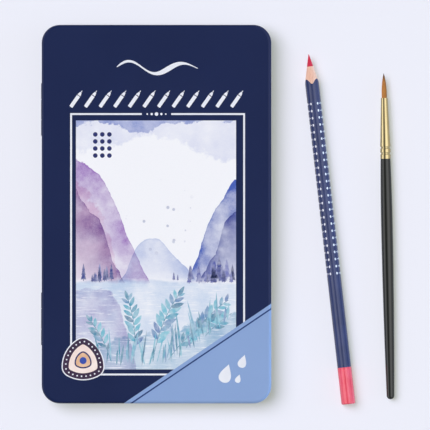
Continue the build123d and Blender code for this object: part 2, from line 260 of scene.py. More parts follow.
# Degrees from overhead towards the right, and how bright the studio is there
PANELS = ((-90, 0.95), (-75, 1.1), (-64, 1.25), (-52, 0.95), (-42, 0.5), (-30, 0.14), (-16, 0.08),
          (-8, 0.16), (2, 0.5), (12, 0.95), (26, 1.25), (46, 1.25), (62, 0.8), (76, 0.5), (90, 0.4))
FAR_FROM, FAR_TO, FAR_LEVEL = 0.45, 0.95, 0.35  # how the sky fades towards the table's far ends

floor_mesh = bpy.data.meshes.new("table_top")
corners = [(x * FLOOR_HALF, y * FLOOR_HALF, 0) for x, y in ((-1, -1), (1, -1), (1, 1), (-1, 1))]
floor_mesh.from_pydata(corners, [], [(0, 1, 2, 3)])
floor = bpy.data.objects.new("table_top", floor_mesh)
bpy.context.scene.collection.objects.link(floor)
table_finish, shader, place = surface("table_paint", Roughness=0.9, Specular_IOR_Level=0.0)
glossy = add(shader.id_data, "ShaderNodeLightPath")["Is Glossy Ray"]
level = scaled(noise(place, 900.0), 0.3, 0.7, 0.995, 1.0) * scaled(glossy, 0, 1, 1, TABLE_IN_GLOSS)
lit, glowing = [[*[part * v for part, v in zip(shares, TABLE)], 1]
                for shares in ([1 - glow for glow in TABLE_GLOW], TABLE_GLOW)]
feed(shader, Base_Color=mixed(1.0, lit, level, "MULTIPLY"), Emission_Color=glowing,
     Emission_Strength=level)
floor_mesh.materials.append(table_finish)

for name, (reach, strength, tint, shadow) in LAMPS.items():
    lamp = bpy.data.objects.new(name, bpy.data.lights.new(name, "SUN"))
    lamp.data.energy = strength
    lamp.data.color = tint
    lamp.data.angle = radians(LAMP_WIDTH)
    lamp.data.use_shadow = shadow
    lamp.rotation_euler = Vector(reach).to_track_quat("-Z", "Y").to_euler()
    lamp.visible_glossy = False
    bpy.context.scene.collection.objects.link(lamp)

world = bpy.data.worlds.new("studio")
world.use_nodes = True
bpy.context.scene.world = world
look = parts(add(world.node_tree, "ShaderNodeTexCoord")["Generated"])
panels = ramp(scaled(calc("ARCTAN2", look[0], look[2]), -pi / 2, pi / 2),
              [((angle + 90) / 180, (level, level, level, 1)) for angle, level in PANELS])
far = scaled(calc("ABSOLUTE", look[1]), FAR_FROM, FAR_TO, 1.0, FAR_LEVEL)
ray = add(world.node_tree, "ShaderNodeLightPath")
sky = world.node_tree.nodes["Background"].inputs
fill(sky["Color"], mixed(ray["Is Camera Ray"], mixed(1.0, panels, far, "MULTIPLY"), TABLE))
fill(sky["Strength"], scaled(ray["Is Diffuse Ray"], 0.0, 1.0, 1.0, SKY_TO_DULL))
print("studio with", len(LAMPS), "lamps and", len(PANELS), "steps of light")

# %% [markdown]
# Three effects serve many finishes, so each is a node group. `handling` is what fingers leave on
# a smooth coat: cloudy patches and hair-thin scratches. `coat_waves` is the faint unevenness of
# sprayed or dipped paint. `rolled_metal` is the fine streaking of sheet that came off rollers.
# `coated` puts the first two on any smooth coat in two close tones.

# %% Handling marks, paint waves and rolled metal
handling, given, result = group(
    "handling", [("Place", "Vector", None), ("Scratches", "Float", 0.5)], ("Marks", "Float"))
cloud = scaled(noise(given["Place"], 45.0, 4.0, 0.6), 0.42, 0.75)
cuts = [scaled(noise(given["Place"], 90.0, 2.0, 0.5, pull), 0.66, 0.72)
        for pull in ((40, 1, 1), (3, 45, 1))]
fill(result["Marks"], calc("MAXIMUM", cloud, calc("MAXIMUM", *cuts) * given["Scratches"]))

coat_waves, given, result = group(
    "coat_waves", [("Place", "Vector", None), ("Size", "Float", 1.0)], ("Height", "Float"))
fill(result["Height"], noise(given["Place"], (1 / MM) / given["Size"]))

rolled_metal, given, result = group(
    "rolled_metal", [("Place", "Vector", None), ("Tint", "Color", (1, 1, 1, 1))],
    ("Color", "Color"), ("Height", "Float"))
streaks = noise(given["Place"], 700.0, 3.0, 0.6, (1.0, 0.02, 1.0))
level = scaled(streaks + noise(given["Place"], 60.0, 3.0), 0.6, 1.4, 0.94, 1.0)
grey = add(rolled_metal, "ShaderNodeCombineColor", {0: level, 1: level, 2: level})[0]
fill(result["Color"], mixed(1.0, given["Tint"], grey, "MULTIPLY"))
fill(result["Height"], streaks)


def coated(name, uneven, tones, scratches, rough, wave, own=True, **plain):
    """A smooth coat in two tones. `uneven` is the clouds' scale, detail and range of noise,
    and `wave` is the size in millimetres and the height in metres of its waves."""
    made, shader, place = surface(name, own, **plain)
    scale, detail, low, high = uneven
    size, height = wave
    marks = placed(handling, Place=place, Scratches=scratches)["Marks"]
    waves = placed(coat_waves, Place=place, Size=size)["Height"]
    feed(shader, Base_Color=mixed(scaled(noise(place, scale, detail), low, high), *tones),
         Roughness=scaled(marks, 0.0, 1.0, *rough), Height=(waves, height))
    return made


print([tree.name for tree in bpy.data.node_groups])

# %% [markdown]
# The tin is printed on the outside and left bare on the inside. One material covers both by
# asking how far a point lies from the lid's outer face: a rounded box has a simple distance
# formula, and anything more than a tenth of a millimetre inside it is the bare inner face. The
# same finish carries the pale blue corner flash, because on the real sheet the flash runs over
# the rounded edge and down the skirt without a break.

# %% Printed tinplate
LID_CORNER = 9.0
LID_EDGE = 1.5
BASE_INSET = 1.1
BASE_EDGE = 0.6
BASE_MIDDLE = 20.0  # so high that the base's outline has no top
NAVY = colour(12, 27, 68)
NAVY_HAZE = colour(56, 70, 118)
FLASH_BLUE = colour(137, 164, 211)
FLASH_LINE = colour(24, 52, 110)
TIN_SILVER = colour(205, 206, 204)
FLASH_FROM = Vector((-15.8, -93.6))  # two points of the flash's edge, seen from above
FLASH_TO = Vector((56.7, -44.6))
LINE_INSIDE = 2.1
LINE_WIDTH = 0.7
SHARP = 0.03  # over which one ink gives way to the next

flash_along = (FLASH_TO - FLASH_FROM).normalized()
flash_across = Vector((flash_along.y, -flash_along.x))


def past_flash(x, y):
    """How far a point lies inside the corner flash, in millimetres."""
    return (Vector((x, y)) - FLASH_FROM).dot(flash_across)


def rounded(one, two, radius):
    """Distance outside a rounded corner, from the distances past the corner's two centre lines."""
    far = [calc("MAXIMUM", value, 0.0) ** 2.0 for value in (one, two)]
    return calc("SQRT", far[0] + far[1]) + calc("MINIMUM", calc("MAXIMUM", one, two), 0.0) - radius


def rounded_box(place, half_width, half_length, corner, middle_z, half_height, edge):
    """Distance in millimetres outside a box with rounded corners and rounded long edges."""
    x, y, z = [value / MM for value in parts(place)]
    plan = rounded(calc("ABSOLUTE", x) - (half_width - corner),
                   calc("ABSOLUTE", y) - (half_length - corner), corner)
    return rounded(plan + edge, calc("ABSOLUTE", z - middle_z) - half_height + edge, edge)


def tinplate(name, outline, flash):
    """Navy print and satin varnish outside the outline, bare tinplate inside it."""
    made, shader, place = surface(name, Specular_IOR_Level=0.35)
    outside = scaled(rounded_box(place, *outline), -0.12, -0.08)
    printed = NAVY
    if flash:
        x, y, _ = parts(place)
        depth = x * (flash_across.x / MM) + y * (flash_across.y / MM) - FLASH_FROM.dot(flash_across)
        printed = mixed(scaled(depth, -SHARP, SHARP), NAVY, FLASH_BLUE)
        on_line = scaled(calc("ABSOLUTE", depth - LINE_INSIDE), LINE_WIDTH / 2 + SHARP,
                         LINE_WIDTH / 2 - SHARP)
        printed = mixed(on_line, printed, FLASH_LINE)
    ink = mixed(scaled(noise(place, 25.0, 3.0), 0.3, 0.8, 0.0, 0.06), printed, NAVY_HAZE)
    metal = placed(rolled_metal, Place=place, Tint=TIN_SILVER)
    marks = placed(handling, Place=place, Scratches=0.35)["Marks"]
    bright, satin = scaled(metal["Height"], 0.3, 0.7, 0.44, 0.5), scaled(marks, 0, 1, 0.3, 0.42)
    rough = add(shader.id_data, "ShaderNodeMix", {0: outside, 2: bright, 3: satin})[0]
    waves = placed(coat_waves, Place=place, Size=1.6)["Height"]
    feed(shader, Base_Color=mixed(outside, metal["Color"], ink), Roughness=rough,
         Metallic=1.0 - outside, Height=(waves, 0.00001))
    return made


def refinish(material, *measured):
    """Gives measured parts their finish."""
    for node in measured:
        nodes[node].data.materials.clear()
        nodes[node].data.materials.append(material)


lid_outline = (half_width, half_length, LID_CORNER, 0.0, lid_top, LID_EDGE)
base_outline = (half_width - BASE_INSET, half_length - BASE_INSET, LID_CORNER - BASE_INSET,
                BASE_MIDDLE, BASE_MIDDLE, BASE_EDGE)
refinish(tinplate("printed_lid", lid_outline, True), "tin_lid")
refinish(tinplate("printed_base", base_outline, False), "tin_base")
print("flash runs at", round(degrees(atan2(flash_along.y, flash_along.x)), 1), "degrees")

# %% [markdown]
# The hinge wires are drawn steel and the tray is vacuum formed white plastic with a fine sprayed
# grain and a softer sheen. Both keep the measured shape and only get a finish.

# %% Hinge wires and tray
wire_finish, shader, place = surface("drawn_wire", Metallic=1.0)
metal = placed(rolled_metal, Place=place, Tint=colour(172, 172, 176))
feed(shader, Base_Color=metal["Color"], Roughness=scaled(metal["Height"], 0.3, 0.7, 0.2, 0.35),
     Height=(metal["Height"], 0.000004))
tray_finish = coated(
    "formed_plastic", (30.0, 3.0, 0.3, 0.7), (colour(224, 224, 222), colour(235, 235, 233)),
    0.2, (0.42, 0.6), (0.5, 0.00003), own=False, Specular_IOR_Level=0.4,
    Subsurface_Weight=0.08, Subsurface_Scale=0.002)
refinish(wire_finish, "hinge_pin_upper", "hinge_pin_lower")
refinish(tray_finish, "pencil_tray")
print("tray and wires finished")

# %% [markdown]
# Pencils, ferrule and handle are all bars of one section that changes along an axis, so they are
# made from rings: each ring is a closed loop of points round the axis, and neighbouring rings
# are joined by faces. Each point also keeps where it lies in the piece's own frame, with the tip
# at the origin, because grain and brushing follow the piece and not the table.

# %% Rings round an axis
def lay_down(x, y, z, turn=0.0):
    """Moves from a piece's own frame, tip at the origin, up along +Y, to where it lies."""
    axes = Matrix(((cos(turn), sin(turn), 0), (0, 0, 1), (sin(turn), -cos(turn), 0))).transposed()
    return Matrix.Translation(Vector((x, y, z)) * MM) @ axes.to_4x4()


def show(name, mesh, body, material=None, stands_for=(), sharp=40):
    """A piece from a finished mesh, smooth up to an angle, riding on its body."""
    for face in mesh.polygons:
        face.use_smooth = True
    mesh.set_sharp_from_angle(angle=radians(sharp))
    if material:
        mesh.materials.clear()
        mesh.materials.append(material)
    piece = bpy.data.objects.new(name, mesh)
    bpy.context.scene.collection.objects.link(piece)
    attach(piece, body)
    if stands_for:
        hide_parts(*stands_for)


def keep_own_place(mesh, place):
    """Notes each point's place in the piece's own frame, then lays the mesh down."""
    own = mesh.attributes.new("own_place", "FLOAT_VECTOR", "POINT")
    for note, vert in zip(own.data, mesh.vertices):
        note.vector = vert.co
    mesh.transform(place)


def finished(bm, name):
    """The mesh that was built, with its faces turned outwards."""
    bmesh.ops.recalc_face_normals(bm, faces=bm.faces)
    mesh = bpy.data.meshes.new(name)
    bm.to_mesh(mesh)
    bm.free()
    return mesh


def loft(name, rings, tube=False):
    """A mesh through rings of points, closed at both ends or, as a tube, into itself."""
    bm = bmesh.new()
    loops = [[bm.verts.new(point) for point in ring] for ring in rings]
    for near, far in list(zip(loops, loops[1:])) + ([(loops[-1], loops[0])] if tube else []):
        for k, vert in enumerate(near):
            after = (k + 1) % len(near)
            bm.faces.new((vert, near[after], far[after], far[k]))
    if not tube:
        bm.faces.new(loops[0])
        bm.faces.new(loops[-1])
    return finished(bm, name)


def ring_mesh(name, rings, place, tube=False):
    """A mesh through rings in millimetres, up along its own axis and then laid down."""
    mesh = loft(name, [[Vector(point) * MM for point in ring] for ring in rings], tube)
    keep_own_place(mesh, place)
    return mesh


def round_ring(radius, height, count=48):
    """A circle of points round the axis."""
    return [(*point, height) for point in disc(0, 0, radius, count)]


def disc(x, y, radius, count=20):
    """The outline of a round dot."""
    turns = [2 * pi * k / count for k in range(count)]
    return [(x + radius * cos(turn), y + radius * sin(turn)) for turn in turns]


print("ring builder ready")

# %% [markdown]
# The pencil's section is three shallow faces and three rounded ridges. Each is an arc about a
# corner of one small triangle, so a point is found from the direction that the surface faces
# there. Sharpening is a cone: a point at some distance from the axis is cut at the height that
# the cone has there. The ridges reach further out than the faces, and that alone gives the
# lacquer its scalloped edge.

# %% Pencil section and cone
PENCIL_LENGTH = 175.0
PENCIL_WIDTH = 6.8
RIDGE_R = 1.65
LEAD_R = 1.55
LACQUER = 0.12
DIP = 0.08
DIP_LENGTH = 18.4
DIP_ROUNDING = 0.7
SHARPEN_ANGLE = 13.0
TIP_R = 0.15

core = PENCIL_WIDTH - 2 * RIDGE_R
FACE_R = core + RIDGE_R
TO_VERTEX = core / sqrt(3)
TO_FACE = FACE_R - TO_VERTEX


def section_point(facing, skin):
    """The point of the section, grown by skin, whose surface faces this many degrees."""
    ridge = 90 + 120 * round((facing - 90) / 120)
    face = 30 + 120 * round((facing - 30) / 120)
    on_ridge = abs(facing - ridge) <= 30
    corner = ridge if on_ridge else face + 180
    radius = (RIDGE_R if on_ridge else FACE_R) + skin
    x = TO_VERTEX * cos(radians(corner)) + radius * cos(radians(facing))
    y = TO_VERTEX * sin(radians(corner)) + radius * sin(radians(facing))
    return x, y


def cone_height(x, y):
    """Where the sharpening cone is this far from the axis."""
    return max(hypot(x, y) - TIP_R, 0) / tan(radians(SHARPEN_ANGLE))


def section_ring(skin, height, count, inward=0.0):
    """A ring of the section at a height, or on the cone where the height is None."""
    ring = []
    for k in range(count):
        x, y = section_point(360 * k / count, skin)
        shrink = 1 - inward * (1 - LEAD_R / hypot(x, y))
        x, y = x * shrink, y * shrink
        ring.append((x, y, cone_height(x, y) if height is None else height))
    return ring


across = [point[0] for point in section_ring(0, 0, 72)]
print("section", round(max(across) - min(across), 2), "mm wide")

# %% [markdown]
# Cedar shows fine lines along the pencil, and the sharpener leaves faint rings across them. The
# lacquer is glossy with a little waviness. The core is wax and pigment, dull and slightly
# crumbly. The dip at the end is a thick gloss coat, deeper in tone where it is thicker. One
# function makes each core or dip finish from its swatch.

# %% Pencil finishes
def cedar():
    """Planed cedar with pores along the pencil and sharpening marks across it."""
    made, shader, place = surface("cedar", own=True, Specular_IOR_Level=0.25)
    pores = noise(place, 2600.0, 3.0, 0.6, (1, 1, 0.03))
    bands = noise(place, 500.0, 2.0, 0.5, (1, 1, 0.05))
    turns = noise(place, 3000.0, 1.0, 0.5, (0.15, 0.15, 1))
    tone = mixed(scaled(bands, 0.35, 0.65), colour(234, 196, 180), colour(226, 182, 164))
    tone = mixed(scaled(pores, 0.56, 0.72, 0, 0.55), tone, colour(184, 132, 100))
    feed(shader, Base_Color=tone, Roughness=scaled(pores, 0.3, 0.7, 0.6, 0.75),
         Height=(pores * 0.7 + turns * 0.5, 0.00003))
    return made


def darker(paint, floor, rise=0.0):
    """A paint darkened to a share of itself, less so where it is strong if rise says so."""
    return [v * (floor + rise * v) for v in paint[:3]] + [1]


def wax_core(name, paint):
    """Pressed wax and pigment, cut by the sharpener."""
    made, shader, place = surface(name, own=True, Specular_IOR_Level=0.35)
    crumbs = noise(place, 5000.0, 3.0, 0.7)
    turns = noise(place, 2500.0, 1.0, 0.5, (0.2, 0.2, 1))
    feed(shader, Base_Color=mixed(scaled(crumbs, 0.4, 0.75, 0, 0.45), paint, darker(paint, 0.55)),
         Roughness=scaled(crumbs, 0.3, 0.7, 0.4, 0.65), Height=(crumbs + turns, 0.00003))
    return made


def gloss_dip(name, paint):
    """A thick gloss coat over the blunt end."""
    return coated(name, (200.0, 2.0, 0.25, 0.6), (paint, darker(paint, 0.62, 0.38)), 0.4,
                  (0.12, 0.26), (1.5, 0.00003), Specular_IOR_Level=1.0, Coat_Weight=0.6)


cedar_finish = cedar()
lacquer_finish = coated(
    "navy_lacquer", (120.0, 3.0, 0.35, 0.7), (colour(42, 53, 96), colour(51, 62, 109)),
    0.6, (0.16, 0.3), (1.2, 0.00002), Specular_IOR_Level=0.8)
print("cedar and lacquer ready")

# %% [markdown]
# Each pencil is four pieces, as on the bench: the cedar casing, the core, the lacquer coat and
# the dip. The stored pencils take their place from their measured cores. The loose one lies
# beside the tin, turned a little, on one of its faces.

# %% The twelve pencils
LOOSE = "crimson"
PENCIL_ASIDE = 28.5
PENCIL_ALONG = -7.5
PENCIL_TURN = radians(6.5)
CONE_RINGS = 8
CORE_RINGS = 5
names = [node.removesuffix("_pencil_lead") for node in nodes if node.endswith("_pencil_lead")]


def pencil_rings(count):
    """The rings of a pencil's four pieces."""
    dip_start = PENCIL_LENGTH - DIP_LENGTH
    casing = [section_ring(-LACQUER, None, count, 1 - k / CONE_RINGS)
              for k in range(CONE_RINGS + 1)]
    casing.append(section_ring(-LACQUER, PENCIL_LENGTH - 0.25, count))
    core_end = cone_height(LEAD_R, 0)
    lead = [(0.4 * TIP_R, 0.0), (0.85 * TIP_R, 0.06), (1.15 * TIP_R, 0.18)]
    lead += [(TIP_R + (LEAD_R - TIP_R) * k / CORE_RINGS, core_end * k / CORE_RINGS)
             for k in range(1, CORE_RINGS + 1)]
    lead = [round_ring(*ring, count) for ring in lead + [(LEAD_R - 0.02, core_end + 3)]]
    lacquer = [section_ring(skin, height, count) for skin, height in (
        (-LACQUER, None), (0.0, None), (0.0, dip_start + 2), (-LACQUER, dip_start + 2))]
    dip = [section_ring(skin, dip_start + rise, count)
           for skin, rise in ((-LACQUER, 0.0), (0.01, 0.0), (DIP * 0.8, 0.08), (DIP, 0.3))]
    for angle in [radians(18 * k) for k in range(6)]:
        dip.append(section_ring(DIP - DIP_ROUNDING * (1 - cos(angle)),
                                PENCIL_LENGTH - DIP_ROUNDING * (1 - sin(angle)), count))
    return casing, lead, lacquer, dip


def lay_aside(aside, along, turn, length, up):
    """Lays a loose piece beside the tin by its middle, turned a little."""
    x, y = half_width + aside - length / 2 * sin(turn), along + length / 2 * cos(turn)
    return lay_down(x, y, up, turn)


def pencil_place(name):
    """Where a pencil's point is and how it is turned."""
    if name == LOOSE:
        return lay_aside(PENCIL_ASIDE, PENCIL_ALONG, PENCIL_TURN, PENCIL_LENGTH, TO_FACE + DIP)
    low, high = box_of(f"{name}_pencil_lead")
    return lay_down((low.x + high.x) / 2, high.y, (low.z + high.z) / 2)


for name in names:
    body, count = ("pencil", 72) if name == LOOSE else ("base", 36)
    lead, dip = f"lead_{name}", f"dip_{name}"
    kinds = (("casing", "cedar", cedar_finish), ("lead", lead, wax_core(lead, swatch(lead))),
             ("lacquer", "navy_lacquer", lacquer_finish),
             ("end_dip", dip, gloss_dip(dip, swatch(dip))))
    for rings, (kind, slot, finish) in zip(pencil_rings(count), kinds):
        part = f"{name}_pencil_{kind}"
        mesh = ring_mesh(part, rings, pencil_place(name), tube=kind == "lacquer")
        show(f"{name}_{kind}", mesh, body, finish, [part])
print(len(names), "pencils, the", LOOSE, "one beside the tin")

# %% [markdown]
# What repeats is placed by geometry nodes: a guide mesh has one vertex where each copy sits and
# keeps its size and which way it faces, and the tree puts a copy of one model on each vertex. A
# modifier's inputs are set by identifier, and `bake` turns the result into a plain mesh.

# %% Helpers for geometry nodes
SPENT = ("out", "along", "size", "foot", "reach")  # notes that only the trees read


def geometry_tree(name, *inputs):
    """An empty geometry tree, with what it is given and the input of its output node."""
    tree = bpy.data.node_groups.new(name, "GeometryNodeTree")
    for side in ("OUTPUT", "INPUT"):
        tree.interface.new_socket("Geometry", in_out=side, socket_type="NodeSocketGeometry")
    for label, kind in inputs:
        tree.interface.new_socket(label, in_out="INPUT", socket_type="NodeSocket" + kind)
    return tree, add(tree, "NodeGroupInput"), tree.nodes.new("NodeGroupOutput").inputs[0]


def note(tree, label, kind="FLOAT_VECTOR"):
    """What a guide vertex notes under a name."""
    return add(tree, "GeometryNodeInputNamedAttribute", {"Name": label}, data_type=kind)[0]


def put_copies(tree, inputs):
    """Copies of one thing on points, as real geometry."""
    return add(tree, "GeometryNodeRealizeInstances",
               {0: add(tree, "GeometryNodeInstanceOnPoints", inputs)[0]})[0]


def bake(tree, guide, inputs):
    """The plain mesh that a geometry tree makes from a guide mesh."""
    holder = bpy.data.objects.new("guide", guide)
    bpy.context.scene.collection.objects.link(holder)
    modifier = holder.modifiers.new("nodes", "NODES")
    modifier.node_group = tree
    sockets = {item.name: item.identifier for item in tree.interface.items_tree
               if item.in_out == "INPUT"}
    for label, value in inputs.items():
        modifier[sockets[label]] = value
    seen = holder.evaluated_get(bpy.context.evaluated_depsgraph_get())
    mesh = bpy.data.meshes.new_from_object(seen)
    holder.modifiers.remove(modifier)
    bpy.data.objects.remove(holder)
    for label in [attribute.name for attribute in mesh.attributes if attribute.name in SPENT]:
        mesh.attributes.remove(mesh.attributes[label])
    return mesh


def guide_mesh(name, spots):
    """A mesh of single vertices in metres, each with vectors that a tree can read by name."""
    mesh = bpy.data.meshes.new(name)
    mesh.from_pydata([spot["at"] for spot in spots], [], [])
    for label in [key for key in spots[0] if key != "at"]:
        notes = mesh.attributes.new(label, "FLOAT_VECTOR", "POINT").data
        for kept, spot in zip(notes, spots):
            kept.vector = spot[label]
    return mesh


# Copies of one model on each guide vertex, facing out, with a size of their own
scatter, given, result = geometry_tree("scatter", ("Model", "Object"), ("Finish", "Material"))
turn = add(scatter, "FunctionNodeAxesToRotation",
           {0: note(scatter, "out"), 1: note(scatter, "along")},
           primary_axis="Z", secondary_axis="Y")[0]
model = add(scatter, "GeometryNodeObjectInfo", {"Object": given["Model"]})["Geometry"]
copies = put_copies(scatter, {"Points": given["Geometry"], "Instance": model, "Rotation": turn,
                              "Scale": note(scatter, "size")})
fill(result, add(scatter, "GeometryNodeSetMaterial", {0: copies, "Material": given["Finish"]})[0])
print("scatter tree with", len(scatter.nodes), "nodes")

# %% [markdown]
# The white grip dots are small domes of paint in straight rows, three rows to a face, with
# smaller dots in the row down its middle. One guide mesh serves all twelve pencils.

# %% Grip dots
DOT_START = 24.7
DOT_PITCH = 3.54
DOT_ROWS = 25
DOT_LENGTH = 1.45
DOT_WIDTH = 1.1
DOT_SPREAD = 18  # degrees between a face's rows
SMALL_DOT = 0.5  # share of the full size, for the row down the middle of a face
DOT_HEIGHT = 0.06
DOT_SUNK = 0.04

dot_finish, shader, place = surface("dot_paint", own=True, Specular_IOR_Level=0.45)
speck = noise(place, 1500.0)
feed(shader, Base_Color=mixed(speck, colour(232, 236, 250), colour(216, 222, 242)),
     Roughness=scaled(speck, 0.3, 0.7, 0.3, 0.45))

dome = bmesh.new()
bmesh.ops.create_uvsphere(dome, u_segments=10, v_segments=6, radius=1.0)
dome_model = bpy.data.objects.new("dot_model", finished(dome, "dot_model"))

spots = []
for row in range(DOT_ROWS):
    for middle, side in [(middle, side) for middle in (30, 150, 270) for side in (-1, 0, 1)]:
        facing = middle + side * DOT_SPREAD
        share = 1.0 if side else SMALL_DOT
        size = Vector((DOT_WIDTH / 2 * share, DOT_LENGTH / 2 * share, DOT_HEIGHT + DOT_SUNK))
        at = Vector((*section_point(facing, -DOT_SUNK), DOT_START + row * DOT_PITCH))
        spots.append({"at": at * MM, "along": Vector((0, 0, 1)), "size": size * MM,
                      "out": Vector((cos(radians(facing)), sin(radians(facing)), 0))})
for name in names:
    dots = bake(scatter, guide_mesh("dot_places", spots),
                {"Model": dome_model, "Finish": dot_finish})
    keep_own_place(dots, pencil_place(name))
    show(f"{name}_grip_dots", dots, "pencil" if name == LOOSE else "base")
bpy.data.objects.remove(dome_model)
print(len(spots), "dots on each pencil")

# %% [markdown]
# The ferrule is a seamless gilt tube, tapered towards the hair, with two rings crimped into its
# wide end. The handle swells over about its first quarter and then tapers to a round tail, under
# a black-green gloss. The hair is set in a plug of glue that closes the ferrule's mouth.

# %% Ferrule, plug and handle
TUFT_LENGTH = 12.5
TUFT_R = 1.22
FERRULE_LENGTH = 30.2
FERRULE_CYLINDER = 6.5
FERRULE_MOUTH_R = 1.65
FERRULE_R = 2.5
FERRULE_WALL = 0.2
CRIMPS = (5.5, 2.6)
CRIMP_WIDTH = 1.3
CRIMP_DEPTH = 0.34
CRIMP_SWELL = 0.07  # of the metal pushed up beside a ring
HANDLE_LENGTH = 119.6
HANDLE_R = 2.45
TENON_R = 2.1
HANDLE_BELLY_R = 2.875
HANDLE_BELLY = 33.0
HANDLE_TAIL_R = 1.9
BRUSH_ASIDE = 57.6
BRUSH_ALONG = -10.9
BRUSH_TURN = radians(1.2)

ferrule_end = TUFT_LENGTH + FERRULE_LENGTH
brush_length = ferrule_end + HANDLE_LENGTH
body_length = HANDLE_LENGTH - HANDLE_TAIL_R
brush_place = lay_aside(BRUSH_ASIDE, BRUSH_ALONG, BRUSH_TURN, brush_length, HANDLE_BELLY_R)


def ferrule_radius(height):
    """The ferrule's outer radius, with its two crimped rings."""
    cone = min((height - TUFT_LENGTH) / (FERRULE_LENGTH - FERRULE_CYLINDER), 1)
    radius = FERRULE_MOUTH_R + (FERRULE_R - FERRULE_MOUTH_R) * cone
    for back in CRIMPS:
        off = abs(height - (ferrule_end - back)) / (CRIMP_WIDTH / 2)
        if off < 1:
            radius -= CRIMP_DEPTH * (0.5 + 0.5 * cos(pi * off))
        elif off < 2:
            radius += CRIMP_SWELL * sin(pi * (off - 1))
    return radius


def handle_radius(height):
    """The handle's radius from the ferrule to the start of its round tail."""
    if height < HANDLE_BELLY:
        return HANDLE_BELLY_R - (HANDLE_BELLY_R - HANDLE_R) * (1 - height / HANDLE_BELLY) ** 2
    share = (height - HANDLE_BELLY) / (body_length - HANDLE_BELLY)
    return HANDLE_BELLY_R - (HANDLE_BELLY_R - HANDLE_TAIL_R) * share**2


gilt, shader, place = surface("gilt_ferrule", own=True, Metallic=1.0)
dull = placed(handling, Place=place, Scratches=0.5)["Marks"]
feed(shader, Base_Color=mixed(dull, colour(240, 220, 166), colour(228, 204, 148)),
     Roughness=scaled(dull, 0, 1, 0.13, 0.27),
     Height=(noise(place, 2200.0, 2.0, 0.5, (1, 1, 0.02)), 0.000006))

gloss_black, shader, place = surface("handle_lacquer", own=True, Specular_IOR_Level=0.9)
grain = noise(place, 900.0, 3.0, 0.6, (1, 1, 0.04))
marks = placed(handling, Place=place, Scratches=0.6)["Marks"]
feed(shader, Base_Color=mixed(grain, colour(14, 17, 15), colour(20, 23, 21)),
     Roughness=scaled(marks, 0, 1, 0.08, 0.2), Height=(grain, 0.000012))

glue, shader, place = surface("amber_glue", own=True, Specular_IOR_Level=0.5, Roughness=0.3)
feed(shader, Base_Color=mixed(noise(place, 2500.0), colour(120, 80, 40), colour(90, 56, 26)))

plug = [round_ring(FERRULE_MOUTH_R - FERRULE_WALL - gap, TUFT_LENGTH + depth)
        for gap, depth in ((0.3, 0.35), (0.03, 0.5), (0.03, 3.0))]
steps = [TUFT_LENGTH + (FERRULE_LENGTH - FERRULE_CYLINDER) * k / 6 for k in range(7)]
steps += [ferrule_end - FERRULE_CYLINDER + FERRULE_CYLINDER * k / 36 for k in range(1, 37)]
tube = [round_ring(ferrule_radius(z), z) for z in steps]
tube += [round_ring(ferrule_radius(z) - FERRULE_WALL, z) for z in reversed(steps)]
tube.append(round_ring(ferrule_radius(TUFT_LENGTH) - FERRULE_WALL / 2, TUFT_LENGTH - 0.06))
handle = [round_ring(TENON_R, ferrule_end - depth) for depth in (2, 0.1)]
handle += [round_ring(handle_radius(body_length * k / 40), ferrule_end + body_length * k / 40)
           for k in range(41)]
handle += [round_ring(HANDLE_TAIL_R * cos(a), ferrule_end + body_length + HANDLE_TAIL_R * sin(a))
           for a in [radians(9 * k) for k in range(1, 10)]]
show("glue_plug", ring_mesh("glue_plug", plug, brush_place), "brush", glue)
show("ferrule", ring_mesh("ferrule", tube, brush_place, tube=True), "brush", gilt,
     ["brush_ferrule"])
show("handle", ring_mesh("handle", handle, brush_place), "brush", gloss_black,
     ["brush_handle"])
print("ferrule and handle,", round(brush_length, 1), "mm with the hair")

# %% [markdown]
# The tuft is hundreds of fine strands that leave the ferrule side by side, swell a little and
# gather to a point. Geometry nodes grow it. Points in a sunflower pattern fill the mouth, each
# gets one curve, and the curve's points are moved by one rule: the further along, the closer to
# the axis, after a slight belly. A thin triangle along each curve makes it hair.

# %% Tuft
HAIRS = 760
HAIR_WIDTH = 0.085
HAIR_STEPS = 9
HAIR_ROOT = 1.5  # into the ferrule
BELLY_SWELL = 0.17
GOLDEN_ANGLE = 2.39996

tree, given, result = geometry_tree(
    "hair", ("Hairs", "Int"), ("Length", "Float"), ("Mouth", "Float"), ("Root", "Float"),
    ("Width", "Float"), ("Finish", "Material"))
feet = add(tree, "GeometryNodePoints", {"Count": given["Hairs"]})[0]
index = add(tree, "GeometryNodeInputIndex")[0]
out = calc("SQRT", (index + 0.5) / given["Hairs"]) * given["Mouth"]
angle = index * GOLDEN_ANGLE
foot = add(tree, "ShaderNodeCombineXYZ",
           {0: out * calc("COSINE", angle), 1: out * calc("SINE", angle)})
odd = add(tree, "FunctionNodeRandomValue", {2: 0.9, 3: 1.0, "Seed": 7}, data_type="FLOAT")
for label, value, kind in (("foot", foot[0], "FLOAT_VECTOR"), ("reach", odd[1], "FLOAT")):
    feet = add(tree, "GeometryNodeStoreNamedAttribute",
               {"Geometry": feet, "Name": label, "Value": value}, data_type=kind)[0]
line = add(tree, "GeometryNodeCurvePrimitiveLine")[0]
line = add(tree, "GeometryNodeResampleCurve", {"Curve": line, "Count": HAIR_STEPS})[0]
hairs = put_copies(tree, {"Points": feet, "Instance": line})
along = add(tree, "GeometryNodeSplineParameter")["Factor"]
belly = calc("SINE", along * pi) * BELLY_SWELL
gathered = (1.0 - along ** 2.3) ** 0.85 * 0.97 + belly
spread = add(tree, "ShaderNodeVectorMath", {0: note(tree, "foot"), "Scale": gathered},
             operation="SCALE")
x, y, _ = parts(spread[0])
total = given["Length"] + given["Root"]
z = total - along * total * note(tree, "reach", "FLOAT")
spot = add(tree, "ShaderNodeCombineXYZ", {0: x, 1: y, 2: z})[0]
hairs = add(tree, "GeometryNodeSetPosition", {"Geometry": hairs, "Position": spot})[0]
